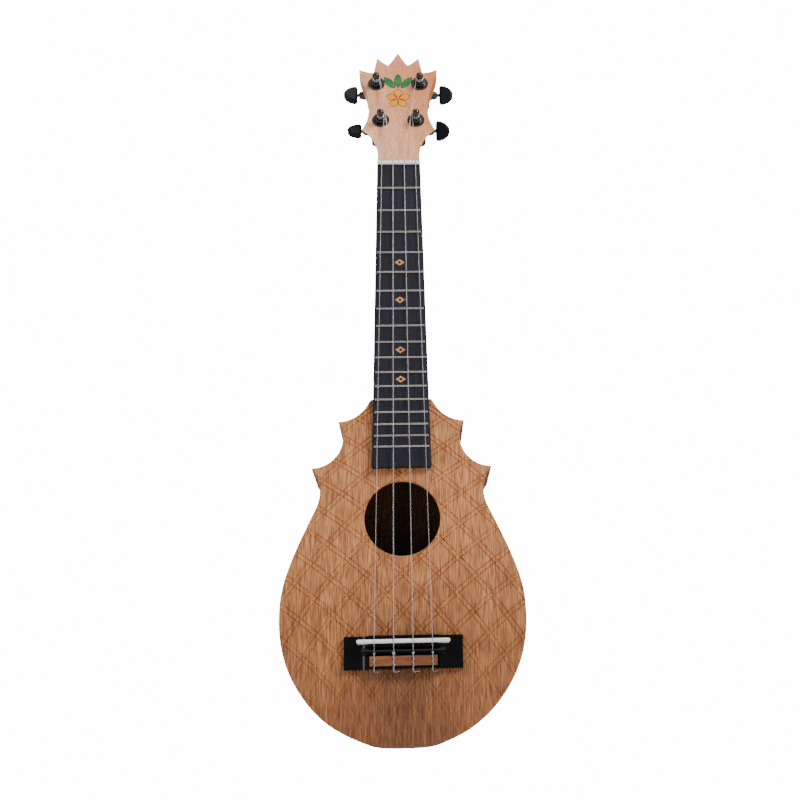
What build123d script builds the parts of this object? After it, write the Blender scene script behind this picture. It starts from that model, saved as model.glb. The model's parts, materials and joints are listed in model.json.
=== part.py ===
"""Long-neck soprano ukulele with a crown headstock and a scalloped pineapple body.

Frame, in millimetres: the origin is at the nut's fretboard edge, on the plane
where the fretboard is glued down. +X is the player's right seen from the front,
+Z runs up to the tip of the headstock and the front faces -Y.

Body and neck pieces are drawn on FRONT and tuner pieces on HEAD. On both planes
the third coordinate is the height towards the viewer.
"""
from build123d import *
import os
from math import acos, atan2, cos, hypot, pi, radians, sin, tan

# ---- driving dimensions ------------------------------------------------------
SCALE_LENGTH = 381.0            # nut edge to saddle crown
FRET_COUNT = 17
BODY_DEPTH = 62.0               # front of the soundboard to the back
BODY_TOP = -199.0               # where the neck's heel meets the body
BODY_BOTTOM = -454.2
BODY_WIDEST = 89.4              # half of the lower bout's width
WIDEST_AT = -363.0

# shells
TOP_T = 2.6
BACK_T = 2.2
SIDE_T = 2.0
LINING_W = 4.5
LINING_H = 6.0
EDGE_ROUND = 0.7
CURVE_STEPS = 12                # stations along a free curve that is redrawn
CLOSING_GAP = 0.01
HOLE_R = 28.1
HOLE_AT = -291.8

# blocks and braces
BLOCK_HALF_W = 21.0
NECK_BLOCK_L = 26.0
TAIL_BLOCK_L = 16.0
BRACE_W = 6.0
BRACE_H = 8.0
UPPER_BRACE_AT = -250.0
LOWER_BRACE_AT = -331.0
FAN_BRACE_W = 4.5
FAN_BRACE_H = 5.5
FAN_BRACE_L = 84.0
FAN_SPREAD = 24.0
FAN_ANGLE = 9.0
BACK_BRACES_AT = (-248.0, -322.0, -396.0)
BACK_BRACE_H = 10.0
STRIP_W = 12.0
STRIP_T = 1.6
PLATE_HALF_W = 50.0
PLATE_L = 30.0
PLATE_T = 2.0

# neck
NECK_D_NUT = 13.5               # depth of the wood behind the fretboard
NECK_D_HEEL = 15.5
NECK_SHAFT_END = -172.0
HEEL_FOOT_HALF_W = 8.0
HEEL_CAP_T = 1.8
HEEL_SETBACK = 1.4              # heel cap to the body's back
DOWEL_R = 3.0
DOWEL_L = 22.0
DOWELS_AT = (-15.0, -33.0)

# headstock, measured up its own face from the nut
HEAD_TILT = 8.0
HEAD_T = 14.0
HEAD_ROOT_HALF_W = 17.2
FLARE_START = 9.0
EAR_FLANK_MIDDLE = (21.4, 25.5)
EAR_TIP = (30.6, 36.0)
HEAD_WAIST = (24.75, 57.0)
OUTER_TIP = (33.4, 101.0)
OUTER_VALLEY = (20.9, 97.1)
INNER_TIP = (17.75, 113.8)
INNER_VALLEY = (8.35, 105.3)
CENTRE_TIP = (0.0, 119.7)
POINT_ROUND = 0.6
HEAD_EDGE_ROUND = 0.4
SCOOP_INSET = 9.5                # how far the hollow behind each lower ear reaches in at the back
SCOOP_LIP = 0.8                  # ear thickness left at the front edge

# fretboard, nut and strings
BOARD_T = 5.6
BOARD_L = 253.8
NUT_HALF_W = 17.5
BOARD_END_HALF_W = 22.3
FRET_INSET = 1.15
FRET_W = 1.6
FRET_H = 1.0
TANG_W = 0.6
TANG_H = 1.8
NUT_T = 3.0
STRING_AT_NUT = 7.4             # height of the string centres above the glue plane
ACTION_AT_12 = 2.9              # string centre above the twelfth fret's crown
MARKED_FRETS = (5, 7, 10, 12)
MARKER_HALF_W = 4.05
MARKER_HALF_H = 2.65
MARKER_DOT_R = 1.1
MARKER_T = 1.4
STRING_R = {"g": 0.31, "c": 0.43, "e": 0.38, "a": 0.29}
NUT_SPACING = 9.1
SADDLE_SPACING = 13.8
SLOT_CLEARANCE = 0.06

# bridge
BRIDGE_HALF_W = 42.4
BRIDGE_FRONT = -378.1
BRIDGE_L = 23.4
BRIDGE_H = 7.6
WING_H = 3.2
RIDGE_HALF_W = 24.4
SHOULDER_HALF_W = 30.2
CHANNEL_R = 3.4
CHANNEL_AT = -389.1
CHANNEL_H = 5.9
SADDLE_HALF_W = 33.3
SADDLE_T = 2.8
SADDLE_SLOT_D = 2.6             # slot bottom above the soundboard
SADDLE_ROUND = 0.9
BREAK_ANGLE = 38.0              # turn of the strings behind the saddle
INLAY_HALF_W = 24.0
INLAY_FRONT = -392.6
INLAY_L = 6.8
INLAY_T = 1.2
TIE_HOLE_R = 0.8
TIE_HOLE_H = 4.2
TIE_OVERHANG = 1.1              # the loop's clearance behind and above the tie block

# tuners, drawn for the right side about their post axis and mirrored to the left
POSTS = {"g": (-14.7, 46.1), "c": (-18.4, 85.2), "e": (18.4, 85.2), "a": (14.7, 46.1)}
BUTTON_TURN = {"g": -22.0, "c": -2.0, "e": 12.0, "a": 26.0}
BUSHING_R = 4.2
POST_R = 2.9
RUNNING_GAP = 0.05
WASHER_R = 7.1
WASHER_T = 1.1
COLLAR_R = 4.7
COLLAR_H = 2.4
WAIST_R = 2.4
WAIST_LOW = 4.2
WAIST_HIGH = 8.7
WAIST_CONE = 0.6
POST_TOP = 12.6
CAP_ROUND = 2.2
POST_HOLE_R = 0.6
STRING_ARRIVES = 4.95           # height of the string where it meets the post
STRING_TO_POST = 0.25
WRAPS = 3
MODULE = 0.5
WHEEL_TEETH = 13
WHEEL_W = 3.0
WORM_PITCH_R = 1.75
TOOTH_SHARE = 0.40              # tooth thickness over pitch; the rest is backlash
WORM_TURNS = 4
AXLE_BEHIND = 6.5               # worm axis behind the headstock's back
HOUSING_D = 11.5
COVER_T = 1.5
WHEEL_STUB_R = 1.9
AXLE_R = 1.5
SLEEVE_START = 8.5
SLEEVE_END = 15.2
SLEEVE_R = (4.3, 3.1)
BUTTON_START = 17.0
BUTTON_W = 12.0
BUTTON_HALF_H = 8.6
BUTTON_T = 6.0
BUTTON_SCREW_R = 1.7
LUG_AT = -9.2
LUG_R = 2.5
LUG_T = 1.8
SCREW_R = 0.9
SCREW_L = 8.0

# inlaid flower on the headstock
FLOWER_AT = 69.0
PETAL_L = 9.4
PETAL_W = 6.6
LEAF_L = 15.0
LEAF_W = 6.0
LEAF_AT = 79.5
EMBLEM_T = 0.6

# ---- derived places -----------------------------------------------------------
FRONT = Plane.XZ
TILT = radians(HEAD_TILT)
HEAD = Plane(origin=(0, 0, NUT_T), x_dir=(1, 0, 0), z_dir=(0, -cos(TILT), sin(TILT)))
SADDLE_AT = -SCALE_LENGTH - SADDLE_T / 2
WORM_PITCH = pi * MODULE
WHEEL_R = MODULE * WHEEL_TEETH / 2
AXLE_OFFSET = WHEEL_R + WORM_PITCH_R
AXLE_H = -(HEAD_T + AXLE_BEHIND)
STRINGS = tuple(STRING_R)
LOWER_DROP = BODY_BOTTOM - WIDEST_AT


def fret_at(number):
    """Distance of a fret from the nut along the neck, negative downwards."""
    return -SCALE_LENGTH * (1 - 2 ** (-number / 12))


def board_half_width(z):
    """Half of the fretboard's width at a height z."""
    return NUT_HALF_W + (BOARD_END_HALF_W - NUT_HALF_W) * (-z / BOARD_L)


def on_front(shape, height=0.0):
    """Place a sketch or solid drawn on the front plane at a height."""
    return FRONT * Pos(0, 0, height) * shape


def front_slab(sketch, low, high):
    """Extrude a front-plane sketch between two heights."""
    return FRONT * Pos(0, 0, low) * extrude(sketch, amount=high - low)


def head_slab(sketch, low, high):
    """Extrude a headstock-plane sketch between two heights."""
    return HEAD * Pos(0, 0, low) * extrude(sketch, amount=high - low)


def rect(x0, x1, y0, y1):
    """A rectangle between two corners."""
    return Pos((x0 + x1) / 2, (y0 + y1) / 2) * Rectangle(abs(x1 - x0), abs(y1 - y0))


def rod(x, y, low, high, radius):
    """A cylinder along the plane's normal."""
    return Pos(x, y, (low + high) / 2) * Cylinder(radius, high - low)


def mirrored_face(edges):
    """Close a right-hand half outline with its mirror image."""
    return make_face(edges + [mirror(edge, Plane.YZ) for edge in edges])


# ---- body ----------------------------------------------------------------------
def lower_bout(width_share, drop_share):
    """A point of the lower bout, as shares of its half width and of its drop below the widest place."""
    return (width_share * BODY_WIDEST, WIDEST_AT + drop_share * LOWER_DROP)


def body_outline():
    """The scalloped pineapple outline: two horns a side over a round lower bout."""
    shoulder = (24.6, BODY_TOP - 1.9)
    horn_1 = (47.8, BODY_TOP - 17.4)
    horn_2 = (67.7, BODY_TOP - 53.6)
    waist_end = (64.1, BODY_TOP - 84.5)
    widest = (BODY_WIDEST, WIDEST_AT)
    edges = [
        Line((0, BODY_TOP), (22.6, BODY_TOP)),
        Line((22.6, BODY_TOP), shoulder),
        ThreePointArc(shoulder, (31.4, BODY_TOP - 11.1), horn_1),
        ThreePointArc(horn_1, (46.9, BODY_TOP - 40.9), horn_2),
        ThreePointArc(horn_2, (61.35, BODY_TOP - 68.6), waist_end),
        Spline(waist_end, (0.8434 * BODY_WIDEST, BODY_TOP - 109.0), (0.9474 * BODY_WIDEST, BODY_TOP - 133.0),
               widest, tangents=[(0.42, -0.91), (0, -1)]),
        Spline(widest, lower_bout(0.905, 0.45), lower_bout(0.781, 0.647), lower_bout(0.503, 0.884),
               lower_bout(0.347, 0.952), (0, BODY_BOTTOM), tangents=[(0, -1), (-1, 0)]),
    ]
    return mirrored_face(edges)


def inside(outline, wall):
    """The outline moved inwards by a wall's thickness, redrawn end to end."""
    moved = offset(outline, amount=-wall, kind=Kind.INTERSECTION)
    wire = moved.face().outer_wire()
    start = first = wire.order_edges()[0] @ 0
    edges = []
    for edge in wire.order_edges():
        forward = (edge @ 0 - start).length < (edge @ 1 - start).length
        steps = 2 if edge.geom_type == GeomType.CIRCLE else CURVE_STEPS
        stations = [edge @ (k / steps if forward else 1 - k / steps) for k in range(1, steps + 1)]
        if (stations[-1] - first).length < CLOSING_GAP:
            stations[-1] = first
        if edge.geom_type == GeomType.LINE:
            edges.append(Line(start, stations[-1]))
        elif edge.geom_type == GeomType.CIRCLE:
            edges.append(ThreePointArc(start, *stations))
        else:
            edges.append(Spline(start, *stations))
        start = stations[-1]
    return make_face(edges)


def soundboard(outline):
    """Front plate with its sound hole and rounded rim."""
    plate = front_slab(outline - Pos(0, HOLE_AT) * Circle(HOLE_R), -TOP_T, 0)
    front_edges = plate.faces().sort_by(Axis.Y)[0].edges()
    return fillet(front_edges, EDGE_ROUND)


def back_plate(outline):
    """Flat back with a rounded rim."""
    plate = front_slab(outline, -BODY_DEPTH, -BODY_DEPTH + BACK_T)
    return fillet(plate.faces().sort_by(Axis.Y)[-1].edges(), EDGE_ROUND)


def sides(outline):
    """The bent sides, left and right, joined on the centre line."""
    ring = front_slab(outline - inside(outline, SIDE_T), -BODY_DEPTH + BACK_T, -TOP_T) - dowels(RUNNING_GAP)
    half = rect(0, 2 * BODY_WIDEST, BODY_BOTTOM - SIDE_T, BODY_TOP + SIDE_T)
    right = front_slab(half, -BODY_DEPTH, 0)
    return {"left_side": ring - right, "right_side": ring & right}


def neck_block(outline):
    """Block that takes the neck's dowels."""
    sketch = rect(-BLOCK_HALF_W, BLOCK_HALF_W, BODY_TOP - SIDE_T - NECK_BLOCK_L, BODY_TOP)
    block = front_slab(sketch & inside(outline, SIDE_T), -BODY_DEPTH + BACK_T, -TOP_T)
    return block - dowels(RUNNING_GAP)


def tail_block(outline):
    """Block at the bottom seam of the sides."""
    sketch = rect(-BLOCK_HALF_W, BLOCK_HALF_W, BODY_BOTTOM, BODY_BOTTOM + SIDE_T + TAIL_BLOCK_L)
    return front_slab(sketch & inside(outline, SIDE_T), -BODY_DEPTH + BACK_T, -TOP_T)


def linings(outline, low, high):
    """Glue strips that run round the rim between the two blocks."""
    ring = inside(outline, SIDE_T) - inside(outline, SIDE_T + LINING_W)
    ring -= rect(-BLOCK_HALF_W, BLOCK_HALF_W, BODY_TOP - 3 * SIDE_T - LINING_W, BODY_TOP)
    ring -= rect(-BLOCK_HALF_W, BLOCK_HALF_W, BODY_BOTTOM, BODY_BOTTOM + 2 * SIDE_T + LINING_W + 4)
    return front_slab(ring, low, high)


def cross_brace(outline, at, height, seat):
    """A brace across the body that ends at the linings; its crown faces inwards."""
    bar = rect(-BODY_WIDEST, BODY_WIDEST, at - BRACE_W / 2, at + BRACE_W / 2)
    inwards = -1 if seat > -BODY_DEPTH / 2 else 1
    low, high = sorted((seat, seat + inwards * height))
    return front_slab(bar & inside(outline, SIDE_T + LINING_W), low, high)


def fan_braces():
    """Three tapered braces behind the bridge, notched over the bridge plate."""
    braces = []
    top = LOWER_BRACE_AT - BRACE_W / 2 - 4
    for side in (-1, 0, 1):
        bar = Rectangle(FAN_BRACE_W, FAN_BRACE_L)
        bar = Pos(side * FAN_SPREAD, top - FAN_BRACE_L / 2) * Rot(0, 0, side * FAN_ANGLE) * bar
        braces.append(front_slab(bar, -TOP_T - FAN_BRACE_H, -TOP_T) - bridge_plate())
    return Compound(children=braces)


def bridge_plate():
    """Hardwood patch under the bridge."""
    middle = BRIDGE_FRONT - BRIDGE_L / 2
    sketch = rect(-PLATE_HALF_W, PLATE_HALF_W, middle - PLATE_L / 2, middle + PLATE_L / 2)
    return front_slab(sketch, -TOP_T - PLATE_T, -TOP_T)


def back_strip():
    """Reinforcing strip over the back's centre seam, between the back braces."""
    bottom = BODY_BOTTOM + SIDE_T + TAIL_BLOCK_L + 1
    top = BODY_TOP - SIDE_T - NECK_BLOCK_L - 1
    seat = -BODY_DEPTH + BACK_T
    strip = front_slab(rect(-STRIP_W / 2, STRIP_W / 2, bottom, top), seat, seat + STRIP_T)
    for at in BACK_BRACES_AT:
        gap = rect(-STRIP_W, STRIP_W, at - BRACE_W / 2 - SLOT_CLEARANCE, at + BRACE_W / 2 + SLOT_CLEARANCE)
        strip -= front_slab(gap, -BODY_DEPTH, -TOP_T)
    return strip


# ---- neck ----------------------------------------------------------------------
def neck_section(z, half_w, depth, squareness):
    """Half of a superellipse with its flat on the glue plane, at a height z."""
    steps = 8
    points = []
    for step in range(steps + 1):
        angle = pi * step / steps
        c, s = cos(angle), sin(angle)
        x = half_w * (1 if c > 0 else -1) * abs(c) ** (2 / squareness)
        points.append((x, depth * s ** (2 / squareness)))
    points[0] = (half_w, 0)
    points[-1] = (-half_w, 0)
    curve = Spline(*points, tangents=[(0, 1), (0, -1)])
    return Pos(0, 0, z) * make_face([Line(points[-1], points[0]), curve])


def heel_section(h, half_w, reach):
    """Half-oval slice of the heel at a depth behind the glue plane."""
    curve = EllipticalCenterArc((0, BODY_TOP), half_w, reach, arc_size=180)
    return on_front(make_face([Line((-half_w, BODY_TOP), (half_w, BODY_TOP)), curve]), h)


def heel():
    """The heel, narrowing from the neck's width to its foot."""
    foot = -BODY_DEPTH + HEEL_SETBACK + HEEL_CAP_T
    w = board_half_width(BODY_TOP) - 0.3
    slices = [
        heel_section(0, w, 34), heel_section(-12, w - 0.8, 31), heel_section(-26, w - 6, 19),
        heel_section(-42, HEEL_FOOT_HALF_W + 2.4, 12), heel_section(foot, HEEL_FOOT_HALF_W, 9.5),
    ]
    return loft(slices)


def heel_cap():
    """Dark cap on the heel's foot."""
    foot = -BODY_DEPTH + HEEL_SETBACK
    section = heel_section(0, HEEL_FOOT_HALF_W, 9.5)
    return Pos(0, -foot - HEEL_CAP_T, 0) * extrude(section, amount=-HEEL_CAP_T)


def ear_flank():
    """The concave edge from the neck's root out to the lower ear."""
    return ThreePointArc((HEAD_ROOT_HALF_W, FLARE_START), EAR_FLANK_MIDDLE, EAR_TIP)


def head_outline():
    """Crown-shaped headstock: ears, a waist and five points."""
    root = (HEAD_ROOT_HALF_W, 0)
    flare_start = (HEAD_ROOT_HALF_W, FLARE_START)
    waist_x, waist_t = HEAD_WAIST
    edges = [
        Line((0, 0), root), Line(root, flare_start),
        ear_flank(),
        ThreePointArc(EAR_TIP, (26.2, 46.5), HEAD_WAIST),
        Spline(HEAD_WAIST, (waist_x + 4.85, waist_t + 28.2), (waist_x + 7.75, waist_t + 37.6), OUTER_TIP,
               tangents=[(0, 1), (0.12, 1)]),
        ThreePointArc(OUTER_TIP, (26.6, 98.1), OUTER_VALLEY), Line(OUTER_VALLEY, INNER_TIP),
        ThreePointArc(INNER_TIP, (12.9, 108.7), INNER_VALLEY),
        ThreePointArc(INNER_VALLEY, (3.9, 112.2), CENTRE_TIP),
    ]
    return mirrored_face(edges)


def headstock():
    """Headstock slab with eased points and softened edges, front and back."""
    outline = head_outline()
    points = [vertex for vertex in outline.vertices() if vertex.Y > EAR_TIP[1] - 1]
    slab = head_slab(fillet(points, POINT_ROUND), -HEAD_T, 0)
    by_height = slab.faces().sort_by(Axis((0, 0, 0), HEAD.z_dir))
    for face in (by_height[-1], by_height[0]):
        rim = face.edges().filter_by(lambda edge: HEAD.to_local_coords(edge.center()).Y > 0.5)
        slab = fillet(rim, HEAD_EDGE_ROUND)
    return slab


def ear_scoops():
    """Hollows behind the lower ears, each a cone about the centre of the ear's concave flank."""
    arc = ear_flank()
    depth = HEAD_T - SCOOP_LIP + 1
    growth = SCOOP_INSET * depth / (HEAD_T - SCOOP_LIP)
    cone = Pos(arc.arc_center.X, arc.arc_center.Y, -SCOOP_LIP - depth / 2) * Cone(
        arc.radius + growth, arc.radius, depth)
    return [HEAD * cone, HEAD * mirror(cone, Plane.YZ)]


def neck():
    """Neck, heel and tilted headstock carved as one piece, bored for tuners and dowels."""
    root_depth = HEAD_T / cos(TILT)
    shaft = loft([neck_section(NECK_SHAFT_END - 8, board_half_width(-180) - 0.3, NECK_D_HEEL + 1, 2.2),
                  neck_section(-90, board_half_width(-90) - 0.15, (NECK_D_NUT + NECK_D_HEEL) / 2, 2.1),
                  neck_section(-14, board_half_width(-14) - 0.1, NECK_D_NUT, 2.1)])
    volute = loft([neck_section(-14, board_half_width(-14) - 0.1, NECK_D_NUT, 2.1),
                   neck_section(-4, HEAD_ROOT_HALF_W, NECK_D_NUT + 0.6, 3.0),
                   neck_section(NUT_T, HEAD_ROOT_HALF_W, root_depth, 7.0)])
    head = headstock()
    for scoop in ear_scoops():
        head -= scoop
    body = shaft + volute + heel() + head
    for x, t in POSTS.values():
        body -= HEAD * rod(x, t, -HEAD_T - 1, 1, BUSHING_R + RUNNING_GAP)
        body -= HEAD * rod(x, t + LUG_AT, -HEAD_T - 1, -HEAD_T - LUG_T + SCREW_L, SCREW_R)
    return body - emblem_petals() - emblem_leaves() - dowels(RUNNING_GAP)


def dowels(extra=0.0):
    """Two dowels that lock the heel to the neck block."""
    pins = [Pos(0, -at, BODY_TOP - SIDE_T / 2) * Cylinder(DOWEL_R + extra, DOWEL_L + 2 * extra)
            for at in DOWELS_AT]
    return Compound(children=pins)


# ---- fretboard -----------------------------------------------------------------
def fretboard():
    """Tapered board, slotted for the frets and pocketed for the position marks."""
    end = -BOARD_L
    corners = [(-NUT_HALF_W, 0), (NUT_HALF_W, 0), (BOARD_END_HALF_W, end), (-BOARD_END_HALF_W, end)]
    board = front_slab(make_face(Polyline(*corners, close=True)), 0, BOARD_T)
    board = fillet(board.edges().filter_by(Axis.Y).sort_by(Axis.Z)[:2], 0.8)
    for number in range(1, FRET_COUNT + 1):
        z = fret_at(number)
        half = board_half_width(z) - FRET_INSET + 0.1
        slot = rect(-half, half, z - TANG_W / 2, z + TANG_W / 2)
        board -= front_slab(slot, BOARD_T - TANG_H, BOARD_T + 1)
    for marker in diamonds():
        board -= front_slab(marker, BOARD_T - MARKER_T, BOARD_T + 1)
    return board


def frets():
    """Half-round wires with a tang; their ends stop short of the board's edges."""
    wires = []
    crown_r = (FRET_W ** 2 / 4 + FRET_H ** 2) / (2 * FRET_H)
    for number in range(1, FRET_COUNT + 1):
        z = fret_at(number)
        half = board_half_width(z) - FRET_INSET
        bead = Pos(0, -BOARD_T - FRET_H + crown_r, z) * Rot(0, 90, 0) * Cylinder(crown_r, 2 * half)
        bead &= front_slab(rect(-half, half, z - FRET_W, z + FRET_W), BOARD_T, BOARD_T + FRET_H)
        ends = bead.edges().filter_by(GeomType.CIRCLE)
        bead = fillet(ends, 0.45)
        tang = front_slab(rect(-half, half, z - TANG_W / 2, z + TANG_W / 2), BOARD_T - TANG_H, BOARD_T)
        wires.append(bead + tang)
    return Compound(children=wires)


def marker_places():
    """Heights midway between the marked fret and the one before it."""
    return [(fret_at(number) + fret_at(number - 1)) / 2 for number in MARKED_FRETS]


def diamonds():
    """Outlines of the position marks."""
    w, h = MARKER_HALF_W, MARKER_HALF_H
    return [Pos(0, z) * make_face(Polyline((w, 0), (0, h), (-w, 0), (0, -h), close=True))
            for z in marker_places()]


def fret_markers():
    """Diamond inlays flush with the board, each bored for its dot."""
    return Compound(children=[
        front_slab(shape - Pos(0, z) * Circle(MARKER_DOT_R), BOARD_T - MARKER_T, BOARD_T)
        for shape, z in zip(diamonds(), marker_places())])


def fret_marker_dots():
    """Dark dots in the middle of the diamonds."""
    return Compound(children=[
        front_slab(Pos(0, z) * Circle(MARKER_DOT_R), BOARD_T - MARKER_T, BOARD_T) for z in marker_places()])


# ---- strings and what carries them -----------------------------------------------
def string_x(name, spacing):
    """Sideways place of a string for a given spacing."""
    return (STRINGS.index(name) - 1.5) * spacing


def saddle_top():
    """Height of the saddle's crown, from the action over the twelfth fret."""
    at_12 = BOARD_T + FRET_H + ACTION_AT_12
    return STRING_AT_NUT + 2 * (at_12 - STRING_AT_NUT) - max(STRING_R.values())


def nut_point(name):
    """Where a string crosses the middle of the nut."""
    return Vector(string_x(name, NUT_SPACING), -STRING_AT_NUT, NUT_T / 2)


def saddle_bend(name):
    """Radius of a string's centre line round the saddle's rear edge."""
    return SADDLE_ROUND + STRING_R[name] + SLOT_CLEARANCE


def saddle_point(name):
    """Where a string bends over the saddle's rear edge."""
    z = SADDLE_AT - SADDLE_T / 2 + SADDLE_ROUND - saddle_bend(name) * tan(radians(BREAK_ANGLE / 2))
    return Vector(string_x(name, SADDLE_SPACING), -saddle_top() - STRING_R[name] - SLOT_CLEARANCE, z)


def post_point(name):
    """Where a string runs on to its post, on the side nearest the centre line."""
    x, t = POSTS[name]
    nut = HEAD.to_local_coords(nut_point(name))
    reach = WAIST_R + STRING_R[name] + STRING_TO_POST
    turn = acos(reach / hypot(nut.X - x, nut.Y - t))
    side = 1 if x < 0 else -1
    angle = atan2(nut.Y - t, nut.X - x) + side * turn
    return HEAD.from_local_coords(Vector(x + reach * cos(angle), t + reach * sin(angle), STRING_ARRIVES))


def string(name):
    """One string: post, nut, saddle, through the tie block and back over it."""
    r = STRING_R[name]
    x = string_x(name, SADDLE_SPACING)
    back = BRIDGE_FRONT - BRIDGE_L - TIE_OVERHANG
    over = BRIDGE_H + r + SLOT_CLEARANCE
    front = INLAY_FRONT + 1.4
    route = [post_point(name), nut_point(name), saddle_point(name),
             Vector(x, -TIE_HOLE_H, INLAY_FRONT + 0.6), Vector(x, -TIE_HOLE_H, back),
             Vector(x, -over, back), Vector(x, -over, front)]
    path = FilletPolyline(*route, radius=(4.0, saddle_bend(name), 1.2, 0.9, 0.9))
    start = Plane(origin=path @ 0, z_dir=path % 0)
    return sweep(start * Circle(r), path=path)


def string_room(name):
    """Round grooves along a string's two straight runs at the nut."""
    r = STRING_R[name] + SLOT_CLEARANCE
    tools = []
    for far in (post_point(name), saddle_point(name)):
        near = nut_point(name)
        along = (far - near).normalized()
        tools.append(Plane(origin=near - along * 2, z_dir=along) * Pos(0, 0, 6) * Cylinder(r, 12))
    return tools


def nut():
    """White nut with a slot for each string."""
    block = front_slab(rect(-NUT_HALF_W, NUT_HALF_W, 0, NUT_T), 0, STRING_AT_NUT)
    block = fillet(block.faces().sort_by(Axis.Y)[0].edges().filter_by(Axis.X), 0.7)
    for name in STRINGS:
        block -= string_room(name)
    return block


def saddle_blank(extra=0.0):
    """Saddle outline with round ends, grown by a clearance."""
    length, width = 2 * (SADDLE_HALF_W + extra), SADDLE_T + 2 * extra
    return Pos(0, SADDLE_AT) * SlotOverall(length, width)


def saddle():
    """White saddle with a rounded crown, seated in the bridge's slot."""
    blade = front_slab(saddle_blank(), SADDLE_SLOT_D, saddle_top())
    return fillet(blade.faces().sort_by(Axis.Y)[0].edges(), SADDLE_ROUND)


def bridge():
    """Tie-block bridge: low wings, scooped shoulders, saddle ridge and string channel."""
    middle = (0, BRIDGE_H)
    wing = (SHOULDER_HALF_W, WING_H)
    bend = ((SHOULDER_HALF_W + RIDGE_HALF_W) / 2 - 0.6, (WING_H + BRIDGE_H) / 2 - 0.7)
    edges = [Line(middle, (RIDGE_HALF_W, BRIDGE_H)), ThreePointArc((RIDGE_HALF_W, BRIDGE_H), bend, wing),
             Line(wing, (BRIDGE_HALF_W, WING_H)), Line((BRIDGE_HALF_W, WING_H), (BRIDGE_HALF_W, 0)),
             Line((BRIDGE_HALF_W, 0), (0, 0))]
    across = Plane(origin=(0, 0, BRIDGE_FRONT - BRIDGE_L), x_dir=(1, 0, 0), z_dir=(0, 0, 1))
    profile = mirrored_face([scale(edge, by=(1, -1, 1)) for edge in edges])
    block = across * extrude(profile, amount=BRIDGE_L)
    channel = Pos(0, -CHANNEL_H, CHANNEL_AT) * Rot(0, 90, 0) * Cylinder(CHANNEL_R, 2 * SHOULDER_HALF_W)
    block -= channel
    block -= front_slab(saddle_blank(0.02), SADDLE_SLOT_D, BRIDGE_H + 1)
    block -= front_slab(inlay_blank(), BRIDGE_H - INLAY_T, BRIDGE_H + 1)
    for name in STRINGS:
        x = string_x(name, SADDLE_SPACING)
        block -= Pos(x, -TIE_HOLE_H, BRIDGE_FRONT - BRIDGE_L) * Cylinder(TIE_HOLE_R, 2 * BRIDGE_L - 20)
    return block


def inlay_blank():
    """Outline of the wood strip let into the tie block."""
    return rect(-INLAY_HALF_W, INLAY_HALF_W, INLAY_FRONT - INLAY_L, INLAY_FRONT)


def tie_block_inlay():
    """Wood strip let into the tie block."""
    return front_slab(inlay_blank(), BRIDGE_H - INLAY_T, BRIDGE_H)


# ---- emblem --------------------------------------------------------------------
def petal(length, width):
    """A pointed oval from the origin upwards."""
    side = ThreePointArc((0, 0), (width / 2, 0.56 * length), (0, length))
    return make_face([side, mirror(side, Plane.YZ)])


def emblem_petals():
    """Five petals laid round the middle of a plain flower."""
    petals = []
    for k in range(5):
        shape = Pos(0, FLOWER_AT) * Rot(0, 0, 72 * k) * Pos(0, 0.9) * petal(PETAL_L, PETAL_W)
        petals.append(head_slab(shape, -EMBLEM_T, 0))
    return Compound(children=petals)


def emblem_leaves():
    """Three leaves fanned above the flower."""
    leaves = []
    for side in (-1, 0, 1):
        shape = Pos(side * 1.9, LEAF_AT) * Rot(0, 0, -side * 38) * Pos(0, 1.2) * petal(LEAF_L, LEAF_W)
        leaves.append(head_slab(shape, -EMBLEM_T, 0))
    return Compound(children=leaves)


# ---- tuners --------------------------------------------------------------------
def at_post(name, shape):
    """Put a right-hand tuner piece at its post, mirrored for the left side."""
    x, t = POSTS[name]
    if x < 0:
        shape = mirror(shape, Plane.YZ)
    return HEAD * Pos(x, t, 0) * shape


def axle(start, end, radius):
    """A cylinder on the worm's axis between two outward distances."""
    return Pos((start + end) / 2, AXLE_OFFSET, AXLE_H) * Rot(0, 90, 0) * Cylinder(radius, end - start)


def washer():
    """Dished washer under the bushing's collar."""
    ring = rod(0, 0, 0, WASHER_T, WASHER_R) - rod(0, 0, -1, WASHER_T + 1, BUSHING_R + RUNNING_GAP)
    return chamfer(ring.edges().sort_by(Axis.Z)[-2:].sort_by(SortBy.RADIUS)[-1], 0.5)


def bushing():
    """Sleeve that screws down from the front, with a round collar."""
    low = -HEAD_T + 4.0
    sleeve = rod(0, 0, low, WASHER_T, BUSHING_R)
    collar = rod(0, 0, WASHER_T, WASHER_T + COLLAR_H, COLLAR_R)
    collar = fillet(collar.edges().sort_by(Axis.Z)[-1], 0.9)
    return sleeve + collar - rod(0, 0, low - 1, WASHER_T + COLLAR_H + 1, POST_R + RUNNING_GAP)


def string_post():
    """Capstan post: shaft, waist for the string, domed cap and a stub for the wheel."""
    wheel_low, shoulder = AXLE_H - WHEEL_W / 2, AXLE_H + WHEEL_W / 2
    neck_low, cap_low = WAIST_LOW - WAIST_CONE, WAIST_HIGH + WAIST_CONE
    cap = rod(0, 0, cap_low, POST_TOP, POST_R)
    cap = fillet(cap.edges().sort_by(Axis.Z)[-1], CAP_ROUND)
    post = rod(0, 0, wheel_low, shoulder, WHEEL_STUB_R) + rod(0, 0, shoulder, neck_low, POST_R)
    post += Pos(0, 0, WAIST_LOW - WAIST_CONE / 2) * Cone(POST_R, WAIST_R, WAIST_CONE)
    post += rod(0, 0, WAIST_LOW, WAIST_HIGH, WAIST_R)
    post += Pos(0, 0, WAIST_HIGH + WAIST_CONE / 2) * Cone(WAIST_R, POST_R, WAIST_CONE)
    hole = Pos(0, 0, (WAIST_LOW + WAIST_HIGH) / 2) * Rot(90, 0, 45) * Cylinder(POST_HOLE_R, 4 * POST_R)
    return post + cap - hole


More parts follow.
